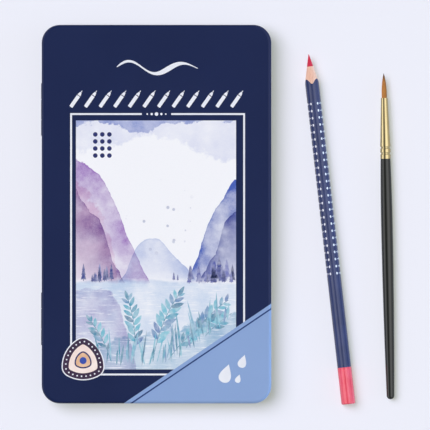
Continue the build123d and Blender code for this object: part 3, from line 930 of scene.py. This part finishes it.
thin = add(tree, "GeometryNodeCurvePrimitiveCircle", {"Resolution": 3, "Radius": given["Width"]})[0]
solid = add(tree, "GeometryNodeCurveToMesh", {
    "Curve": hairs, "Profile Curve": thin, "Scale": 1.0 - along ** 3.0 * 0.8, "Fill Caps": True})[0]
real = add(tree, "GeometryNodeRealizeInstances", {0: solid})[0]
fill(result, add(tree, "GeometryNodeSetMaterial", {0: real, "Material": given["Finish"]})[0])

hair_finish, shader, place = surface("brush_hair", own=True, Specular_IOR_Level=0.4)
strand = noise(place, 9000.0, 2.0, 0.6, (1, 1, 0.03))
warm = mixed(scaled(strand, 0.3, 0.7), colour(202, 142, 80), colour(152, 96, 46))
tip = scaled(parts(place)[2], 0.0002, 0.005, 1.0, 0.0, smooth=True)
feed(shader, Base_Color=mixed(tip, warm, colour(74, 46, 24)),
     Roughness=scaled(strand, 0.3, 0.7, 0.35, 0.55))

hair = bake(tree, guide_mesh("tuft_guide", [{"at": Vector()}]), {
    "Hairs": HAIRS, "Length": TUFT_LENGTH * MM, "Mouth": (TUFT_R - HAIR_WIDTH / 2) * MM,
    "Root": HAIR_ROOT * MM, "Width": HAIR_WIDTH / 2 * MM, "Finish": hair_finish})
keep_own_place(hair, brush_place)
show("tuft", hair, "brush", None, ["brush_tuft"])
print("tuft of", HAIRS, "hairs,", len(hair.polygons), "faces")

# %% [markdown]
# The lid's print is drawn as separate layers of ink, as a printer lays them down, each a thin
# closed slab on the lid. That keeps its edges sharp at any distance, which one picture over the
# whole lid couldn't. `ink` makes a slab from flat outlines and cuts it off where the corner
# flash starts. `ribbon` gives the outlines of a line that swells and thins like a brush stroke.

# %% Layers of ink
INK = 0.012  # height of one layer
INK_SUNK = 0.02  # of the first layer, into the lid


def ink(name, outlines, layer, finish, clipped=True):
    """A thin closed slab from flat outlines in millimetres, in a numbered layer of ink."""
    bm = bmesh.new()
    low = lid_top + INK * (layer - 1) - (INK_SUNK if layer == 1 else 0.0)
    for outline in outlines:
        bm.faces.new([bm.verts.new(Vector((x, y, low)) * MM) for x, y in outline])
    bmesh.ops.remove_doubles(bm, verts=bm.verts, dist=0.000001)
    if clipped:
        everything = bm.verts[:] + bm.edges[:] + bm.faces[:]
        bmesh.ops.bisect_plane(bm, geom=everything, clear_outer=True,
                               plane_co=(*(FLASH_FROM * MM), 0), plane_no=(*flash_across, 0))
    rise = Vector((0, 0, lid_top + INK * layer - low)) * MM
    flat, rims = bm.faces[:], [edge.verts[:] for edge in bm.edges if len(edge.link_faces) == 1]
    lifted = {vert: bm.verts.new(vert.co + rise) for vert in bm.verts[:]}
    for face in flat:
        bm.faces.new([lifted[vert] for vert in face.verts])
    for one, two in rims:
        bm.faces.new((one, two, lifted[two], lifted[one]))
    show(name, finished(bm, name), "lid", finish, sharp=20)


def ribbon(points, widths):
    """The outlines of a stroke through points, this wide at each of them."""
    sides = []
    for k, (x, y) in enumerate(points):
        before, after = points[max(k - 1, 0)], points[min(k + 1, len(points) - 1)]
        aside = Vector((before[1] - after[1], after[0] - before[0])).normalized() * widths[k] / 2
        sides.append(((x + aside.x, y + aside.y), (x - aside.x, y - aside.y)))
    return [(a[0], b[0], b[1], a[1]) for a, b in zip(sides, sides[1:])]


def turned(x, y, lean, outline):
    """An outline turned clockwise by an angle and moved to a place."""
    return [(x + px * cos(lean) + py * sin(lean), y + py * cos(lean) - px * sin(lean))
            for px, py in outline]


def varnished(name):
    """A material for print under satin varnish."""
    return surface(name, Specular_IOR_Level=0.35)


def paint(name, one, two):
    """Printing ink: two close tones, uneven the way ink takes to metal."""
    made, shader, place = varnished(name)
    clouds, grain = noise(place, 220.0, 3.0), noise(place, 3000.0, 1.0)
    feed(shader, Base_Color=mixed(scaled(clouds, 0.3, 0.7), colour(*one), colour(*two)),
         Roughness=scaled(grain, 0.3, 0.7, 0.32, 0.44))
    return made


white_ink = paint("white_ink", (232, 235, 244), (224, 228, 240))
print("ink layers are", INK, "mm thick")

# %% [markdown]
# A white rule runs round the picture and stops at the corner flash. Its top has a gap with five
# small dots. Each side is a strip with mitred ends, so that the corners meet in a clean line.

# %% White rule and its ornament
RULE_LEFT, RULE_RIGHT, RULE_LOW, RULE_HIGH = -42.4, 43.5, -79.6, 49.7
RULE_WIDTH = 0.9
RULE_GAP = 7.3  # to each side of the middle
ORNAMENT = ((-4.6, 0.4), (-2.4, 0.6), (0.0, 0.9), (2.4, 0.6), (4.6, 0.4))  # place and radius


def rule_corners(h):
    """The corners of the rule's middle line, moved outwards."""
    return [(RULE_LEFT - h, RULE_LOW - h), (RULE_RIGHT + h, RULE_LOW - h),
            (RULE_RIGHT + h, RULE_HIGH + h), (RULE_LEFT - h, RULE_HIGH + h)]


out, inn = rule_corners(RULE_WIDTH / 2), rule_corners(-RULE_WIDTH / 2)
high, low = out[2][1], inn[2][1]
strips = [(out[k], out[(k + 1) % 4], inn[(k + 1) % 4], inn[k]) for k in (0, 1, 3)]
strips.append((out[2], (RULE_GAP, high), (RULE_GAP, low), inn[2]))
strips.append(((-RULE_GAP, high), out[3], inn[3], (-RULE_GAP, low)))
ink("print_rule", strips + [disc(x, RULE_HIGH, radius) for x, radius in ORNAMENT], 1, white_ink)
print("rule", round(RULE_RIGHT - RULE_LEFT, 1), "x", round(RULE_HIGH - RULE_LOW, 1), "mm")

# %% [markdown]
# The picture is a watercolour: a lake between a violet and a blue mountain. A wash is
# transparent, so each one multiplies what lies under it. It is uneven inside, because pigment
# flows and settles in the paper's hollows, and it has a ragged edge with a darker line where it
# dried last. All that is one node group, `wash`. The only thing that differs between washes is
# `Inside`, how many millimetres a point lies inside the painted shape.

# %% The wash group
wash, given, result = group("wash", [
    ("Under", "Color", (1, 1, 1, 1)), ("Tone", "Color", (0.5, 0.5, 0.5, 1)),
    ("Inside", "Float", 0.0), ("Place", "Vector", None), ("Load", "Float", 1.0),
    ("Ragged", "Float", 2.0), ("Soft", "Float", 0.4), ("Seed", "Float", 0.0)],
    ("Color", "Color"))
seed = given["Seed"]
shift = add(wash, "ShaderNodeCombineXYZ", {0: seed, 1: seed, 2: seed})[0]
spot = stretched(given["Place"], shift, "ADD")
depth = given["Inside"] + (noise(spot, 0.14, 5.0, 0.62) - 0.5) * 4.0 * given["Ragged"]
cover = scaled(depth / given["Soft"], 0.0, 1.0, smooth=True)
dried = scaled(depth, 0.1, 1.3, 1.0, 0.0, smooth=True)
flow = scaled(noise(spot, 0.075, 4.0, 0.6), 0.32, 0.7, 0.3, 1.0)
settled = scaled(noise(spot, 2.2, 3.0, 0.7), 0.35, 0.75, 0.85, 1.15)
share = calc("MINIMUM", (flow + dried * 0.3) * settled * cover * given["Load"], 1.0)
tint = mixed(share, (1, 1, 1, 1), given["Tone"])
fill(result["Color"], mixed(1.0, given["Under"], tint, "MULTIPLY"))
print("wash group with", len(wash.nodes), "nodes")

# %% [markdown]
# Each wash of the picture is one row of a table: its tone, its load of pigment, and its shape as
# a line over the width. A shape is what lies below the line, or above it for the sky, down to a
# shore or fading over a distance. The lines bend through a few chosen points, and the group's
# ragged edge makes them look painted.

# %% The lake picture
PICTURE = (-40.0, 39.5, -77.1, 46.5)  # left, right, low, high
PAPER = colour(244, 245, 250)
SHORE = -33.0
FADED = 0.12  # of the load, where a wash has faded
# Tone, load, ragged, soft, line as places and heights, and how far it fades: up from the line
# for the high sky and the low sky, and down from it for a blush, the far hills, two violet
# peaks, the blue peak and its flank
WASHES = (
    ((120, 140, 206), 0.95, 3.0, 0.9, ((-40, 44), (-22, 45), (-10, 41), (6, 45), (39, 47)), 90),
    ((228, 176, 208), 0.8, 6.0, 3.0, ((-40, 16), (-32, 8), (-24, -6), (-16, -40), (39, -90)), -70),
    ((216, 220, 240), 0.8, 5.0, 3.0, ((-40, 30), (-20, 33), (0, 38), (20, 30), (39, 26)), 60),
    ((160, 178, 222), 0.9, 0.9, 0.4, ((-40, -60), (-16, -30), (-3, -12), (8, -20), (39, -60)), -24),
    ((158, 112, 190), 1.05, 1.6, 0.5, ((-40, 27), (-31, 22), (-22, 8), (-14, -12), (-2, -36)), -46),
    ((130, 78, 160), 1.1, 2.2, 0.5, ((-40, 12), (-33, 2), (-29, -2), (-22, -22), (-12, -40)), -40),
    ((70, 98, 184), 1.2, 1.5, 0.4, ((12, -40), (20, -22), (27, -2), (33, 8), (39, 17)), -70),
    ((56, 70, 164), 1.0, 2.0, 0.5, ((18, -44), (26, -24), (30, -18), (34, -4), (39, 2)), -36),
)
# The lake, its violet and its near water lie below the shore
WATERS = (
    ((172, 200, 230), 0.8, 0.6, 1.5, ((-40, -33), (-10, -32), (10, -33), (39, -34)), -60),
    ((150, 136, 196), 0.8, 2.6, 1.5,
     ((-40, -37), (-24, -38), (-14, -60), (0, -110), (39, -130)), -60),
    ((120, 178, 206), 0.85, 3.6, 1.6,
     ((-40, -74), (-20, -62), (0, -58), (20, -54), (39, -48)), -80),
)


def line_height(x, points):
    """The height of a line through points, over a place."""
    heights = [y for _, y in points]
    low, high = min(heights), max(heights)
    left, right, _, _ = PICTURE
    height = add(x.id_data, "ShaderNodeFloatCurve", {"Value": scaled(x, left, right)})[0]
    curve = height.node.mapping
    bend = curve.curves[0].points
    while len(bend) < len(points):
        bend.new(0.5, 0.5)
    for point, (along, y) in zip(bend, points):
        point.location = ((along - left) / (right - left), (y - low) / (high - low))
    curve.update()
    return scaled(height, 0.0, 1.0, low, high)


def wash_over(under, place, x, y, row, seed, keep=None):
    """One wash of the table over what is painted so far."""
    tone, load, ragged, soft, points, fade = row
    inside = (y - line_height(x, points)) * (1.0 if fade > 0 else -1.0)
    load = scaled(inside, 0.0, abs(fade), load, load * FADED)
    if keep is not None:
        load = load * keep
    return placed(wash, Under=under, Tone=colour(*tone), Inside=inside, Place=place, Load=load,
                  Ragged=ragged, Soft=soft, Seed=seed)["Color"]


picture, shader, place = varnished("lake_picture")
flat = stretched(place, (1 / MM, 1 / MM, 0))
x, y, _ = parts(flat)
painted = mixed(noise(flat, 1.6, 3.0), PAPER, colour(236, 238, 247))
land = scaled(y + noise(flat, 0.3, 3.0) * 3.0, SHORE, SHORE + 3)
for number, row in enumerate(WASHES):
    painted = wash_over(painted, flat, x, y, row, 11.0 * number + 3.0, land)
for number, row in enumerate(WATERS):
    painted = wash_over(painted, flat, x, y, row, 7.0 * number + 101.0)
ripple = scaled(noise(flat, 0.55, 3.0, 0.6, (0.22, 2.4, 1)), 0.55, 0.68, 0, 0.75)
painted = mixed(ripple * scaled(y, SHORE - 1, SHORE - 5), painted, PAPER)
drop = add(shader.id_data, "ShaderNodeTexVoronoi",
           {"Vector": flat, "Scale": 0.34, "Randomness": 1.0})
lots = add(shader.id_data, "ShaderNodeSeparateColor", {0: drop["Color"]})
speck = scaled(scaled(lots[0], 0.55, 1.0, 0.0, 0.36) - drop["Distance"], 0.0, 0.06, 0, 0.5)
reach = add(shader.id_data, "ShaderNodeVectorMath", {0: flat, 1: (2.0, -2.0, 0.0)},
            operation="DISTANCE")["Value"]
painted = mixed(speck * scaled(reach, 12.0, 20.0, 1.0, 0.0), painted, colour(120, 130, 178))
feed(shader, Base_Color=painted, Roughness=scaled(noise(flat, 3.0), 0.3, 0.7, 0.34, 0.46))
left, right, low, high = PICTURE
ink("print_picture", [[(left, low), (right, low), (right, high), (left, high)]], 1, picture)
print(len(WASHES) + len(WATERS), "washes")

# %% [markdown]
# Firs stand along the far shore and reeds and willow sprigs in front. They are repeats again,
# so they use the scatter tree, with one thin closed leaf or tree as the model. Every leaf
# carries its own tone as one more note on its guide vertex, and the finish reads it. Each copy
# also lies a hair higher than the one before, so that no two overlap at the same height.

# %% Helpers for leaves
FOLIAGE_HALF = INK / 4  # half the thickness of one leaf
FOLIAGE_STEP = 0.00004  # rise from one copy to the next
EDGE_KEPT = 1.2  # bare strip along the picture's border and the flash
SPRIG_STEP = 1.6  # between the leaves of a sprig
UP = Vector((0, 0, 1))


def flat_model(name, side):
    """A thin closed model between heights -1 and 1, one unit long, from its right side."""
    outline = side + [(0, 1)] + [(-x, y) for x, y in reversed(side) if x]
    mesh = loft(name, [[(*point, z) for point in outline] for z in (-1, 1)])
    return bpy.data.objects.new(name, mesh)


def inside_picture(x, y):
    """Whether a point lies on the picture, clear of its border and of the corner flash."""
    framed = left + EDGE_KEPT < x < right - EDGE_KEPT and low + EDGE_KEPT < y < high
    return framed and past_flash(x, y) < -EDGE_KEPT


def leaf_spot(x, y, angle, length, width, tone, number):
    """A guide vertex for one leaf that starts at a point and grows at an angle in degrees."""
    way = Vector((cos(radians(angle)), sin(radians(angle)), 0))
    tip = Vector((x, y, 0)) + way * length
    if not (inside_picture(x, y) and inside_picture(tip.x, tip.y)):
        return []
    height = lid_top + INK + FOLIAGE_HALF + number * FOLIAGE_STEP
    return [{"at": Vector((x, y, height)) * MM, "out": UP, "along": way,
             "size": Vector((width, length, FOLIAGE_HALF)) * MM, "tone": Vector([tone] * 3)}]


def lot(number, seed):
    """A fixed irregular share from 0 to 1 for each number."""
    return (sin(number * 12.9898 + seed * 78.233) * 43758.5453) % 1


def foliage_finish(name, tones):
    """Watercolour leaves whose tone each copy carries with it."""
    made, shader, place = varnished(name)
    tone = ramp(add(shader.id_data, "ShaderNodeAttribute", attribute_name="tone")["Fac"],
                [(k / (len(tones) - 1), colour(*one)) for k, one in enumerate(tones)])
    flow = scaled(noise(place, 420.0, 3.0), 0.3, 0.7, 0.0, 0.35)
    feed(shader, Base_Color=mixed(flow, tone, PAPER),
         Roughness=scaled(noise(place, 3000.0), 0.3, 0.7, 0.35, 0.45))
    return made


def sprig(x, y, lean, bend, length, leaf, seed):
    """A curved stem with leaves on both sides, as guide vertices."""
    made, angle = [], lean
    for k in range(int(length / SPRIG_STEP)):
        angle += bend * SPRIG_STEP / length
        x, y = x + SPRIG_STEP * cos(radians(angle)), y + SPRIG_STEP * sin(radians(angle))
        share = k * SPRIG_STEP / length
        number = seed * 40 + k
        made += leaf_spot(x, y, angle, SPRIG_STEP * 1.3, 0.45, 0.15, number)
        if share >= 0.25:
            size = leaf * (0.65 + 0.5 * sin(pi * share)) * (0.85 + 0.3 * lot(k, seed))
            aside = (1 if k % 2 else -1) * (34 + 14 * lot(k, seed + 9))
            made += leaf_spot(x, y, angle + aside, size, size * 0.36, lot(k, seed + 3), number)
    return made + leaf_spot(x, y, angle, leaf, leaf * 0.34, lot(seed, 5), seed * 40 + 39)


print("leaves", FOLIAGE_HALF * 2, "mm thick")

# %% [markdown]
# Six sprigs and a row of single reeds grow up from the near shore, which is the picture's lower
# border or the edge of the corner flash. Firs stand on the right bank, taller to the right, and
# small ones on the left. `lot` gives the irregular sizes, the same on each run.

# %% Firs, reeds and willow sprigs
# Foot, lean, bend, length and leaf of each sprig
SPRIGS = ((-12, -76, 78, 30, 34, 5.4), (-2, -75, 84, -28, 38, 6.0), (5, -74, 60, -34, 34, 5.6),
          (14, -68, 66, -30, 32, 5.6), (-22, -75, 104, 22, 24, 4.6), (23, -62, 52, -24, 24, 5.0))
REEDS, FIRS, LEFT_FIRS = 46, 26, 12
NEAR_SHORE = low + EDGE_KEPT + 0.4
FLASH_SHORE, FLASH_RISE = -79.5, 0.676  # a line just above the flash's edge
REED_TONES = ((44, 112, 150), (80, 160, 190), (124, 192, 212), (92, 122, 178))
FIR_TONES = ((52, 62, 132), (74, 84, 160), (112, 118, 184))

leaves, firs = [], []
for number, row in enumerate(SPRIGS):
    leaves += sprig(*row, number + 1)
for k in range(REEDS):
    x = -30 + 66 * lot(k, 1)
    y = max(NEAR_SHORE, FLASH_SHORE + FLASH_RISE * x) + 3 * lot(k, 2)
    lean, length, width = 90 + 30 * (lot(k, 4) - 0.5), 7 + 15 * lot(k, 3), 0.6 + 0.5 * lot(k, 6)
    leaves += leaf_spot(x, y, lean, length, width, lot(k, 7), 300 + k)
for k in range(FIRS):
    x = 8 + 30 * lot(k, 11) ** 0.8
    height = (5 + 9 * lot(k, 12)) * (0.55 + 0.45 * (x - 8) / 30)
    firs += leaf_spot(x, SHORE - 1.5 + 2.5 * lot(k, 13), 90 + 4 * (lot(k, 14) - 0.5), height,
                      height * 0.36, lot(k, 15), k)
for k in range(LEFT_FIRS):
    size = lot(k, 23)
    firs += leaf_spot(-38 + 17 * lot(k, 21), SHORE - 1 + 2 * lot(k, 22), 90, 4 + 5 * size,
                      1.4 + 1.4 * size, lot(k, 24), 30 + k)

leaf_side = [(0, 0)]
leaf_side += [(0.5 * sin(pi * k / 6) ** 0.8 * (1.15 - 0.3 * k / 6), k / 6) for k in range(1, 6)]
fir_side = [(0.08, 0.0), (0.08, 0.1), (0.5, 0.08), (0.26, 0.36), (0.4, 0.34), (0.18, 0.62),
            (0.28, 0.6)]
for name, side, spots, tones in (("print_reeds", leaf_side, leaves, REED_TONES),
                                 ("print_firs", fir_side, firs, FIR_TONES)):
    model = flat_model(name + "_model", side)
    copies = bake(scatter, guide_mesh(name + "_places", spots),
                  {"Model": model, "Finish": foliage_finish(name + "_ink", tones)})
    show(name, copies, "lid")
    bpy.data.objects.remove(model)
    print(name, len(spots), "copies")

# %% [markdown]
# The badge over the corner of the rule shows the end of a three-sided pencil, so its outline
# comes from the function that made the pencils, grown and moved. Smaller layers on top give the
# white rim, the dark ring, the pale field and the pencil's end.

# %% Badge with a pencil's end
BADGE_AT = (-36.45, -72.7)
BADGE_GROWN = 21.3 / PENCIL_WIDTH
END_GROWN = 1.25
BADGE_DOTS = 24


def badge_outline(grown, skin=0.0):
    """The pencil's section as an outline, grown and moved, with one ridge up."""
    points = [section_point(facing, skin / grown) for facing in range(0, 360, 3)]
    return [(BADGE_AT[0] + x * grown, BADGE_AT[1] + y * grown) for x, y in points]


deep_navy = paint("navy_ink", (34, 42, 92), (44, 52, 108))
ink("badge_rim", [badge_outline(BADGE_GROWN)], 2, white_ink)
ink("badge_ring", [badge_outline(BADGE_GROWN, -0.55)], 3,
    paint("aubergine_ink", (52, 36, 62), (60, 44, 70)))
ink("badge_field", [badge_outline(BADGE_GROWN, -3.5)], 4,
    paint("blush_ink", (246, 232, 228), (236, 214, 208)))
ink("badge_pencil", [badge_outline(END_GROWN)], 5, deep_navy)
ink("badge_wood", [badge_outline(END_GROWN, -0.7)], 6,
    paint("cedar_ink", (232, 196, 166), (216, 172, 138)))
ink("badge_core", [disc(*BADGE_AT, 1.75, 32)], 7, paint("blue_ink", (52, 74, 160), (66, 90, 178)))
ring = badge_outline(BADGE_GROWN, -2.0)
runs = [0.0]
for one, two in zip(ring, ring[1:] + ring[:1]):
    runs.append(runs[-1] + hypot(two[0] - one[0], two[1] - one[1]))
nearest = [min(range(len(ring)), key=lambda k: abs(runs[k] - runs[-1] * number / BADGE_DOTS))
           for number in range(BADGE_DOTS)]
ink("badge_dots", [disc(*ring[k], 0.4, 12) for k in nearest], 4, white_ink)
print("badge", round(PENCIL_WIDTH * BADGE_GROWN, 1), "mm wide")

# %% [markdown]
# Above the picture stand a brush stroke and a row of twelve pencils in white. On the picture,
# twelve small navy dots count the colours. The corner flash carries three drops of water. The
# stroke is a ribbon along a wave, and a pencil is three shapes with hair lines left bare.

# %% Stroke, row of pencils, dots and drops
STROKE_FROM, STROKE_TO, STROKE_Y = -19.7, 20.5, 72.6
STROKE_STEPS = 60
STROKE_WAVES = 1.5
ROW_PENCILS = 12
ROW_FROM, ROW_TO, ROW_LOW, ROW_HIGH = -39.6, 40.2, 53.4, 61.5
ROW_LEAN = radians(35)
COUNT_AT = (-30.4, 39.6)
COUNT_PITCH, COUNT_R = 3.5, 1.15
DROPS = ((34.5, -79.0, 3.3), (42.8, -73.0, 2.3), (40.6, -81.6, 1.5))  # place and radius
DROP_LEAN = radians(18)
# Barrel, cone and tip, as widths in millimetres and heights as shares of the length
PENCIL_SHAPES = (
    ((-0.9, 0), (-0.6, -0.22), (0.6, -0.22), (0.9, 0), (0.9, 0.68), (0.45, 0.63), (0, 0.68),
     (-0.45, 0.63), (-0.9, 0.68)),
    ((-0.86, 0.72), (-0.45, 0.67), (0, 0.72), (0.45, 0.67), (0.86, 0.72), (0.36, 0.88),
     (-0.36, 0.88)),
    ((-0.3, 0.905), (0.3, 0.905), (0, 1.0)))

wave, widths = [], []
for share in [k / STROKE_STEPS for k in range(STROKE_STEPS + 1)]:
    sway = 3.6 * sin(2 * pi * (STROKE_WAVES * share + 0.02)) * (1 - 0.45 * share)
    wave.append((STROKE_FROM + (STROKE_TO - STROKE_FROM) * share, STROKE_Y + sway))
    swell = 0.6 + 0.4 * cos(2 * pi * STROKE_WAVES * share)
    widths.append(0.3 + 2.4 * sin(pi * share) ** 0.7 * swell)
ink("print_stroke", ribbon(wave, widths), 1, white_ink)

row, tall = [], ROW_HIGH - ROW_LOW
for k in range(ROW_PENCILS):
    foot = ROW_FROM + (ROW_TO - ROW_FROM) * k / (ROW_PENCILS - 1) - tan(ROW_LEAN) * tall / 2
    row += [turned(foot, ROW_LOW, ROW_LEAN, [(x, max(y, 0) * tall / cos(ROW_LEAN) + min(y, 0))
                                            for x, y in shape]) for shape in PENCIL_SHAPES]
ink("print_pencil_row", row, 1, white_ink)

count = [disc(COUNT_AT[0] + COUNT_PITCH * (k % 3), COUNT_AT[1] - COUNT_PITCH * (k // 3), COUNT_R)
         for k in range(len(names))]
ink("print_count_dots", count, 2, deep_navy)
around = [2 * pi * k / 40 for k in range(40)]
shape = [(1.3 * sin(a) * sin(a / 2) ** 1.5, 1.45 * cos(a)) for a in around]
drops = [turned(x, y, DROP_LEAN, [(radius * px, radius * py) for px, py in shape])
         for x, y, radius in DROPS]
ink("print_drops", drops, 1, white_ink, clipped=False)
print("stroke, twelve pencils, twelve dots and", len(drops), "drops")
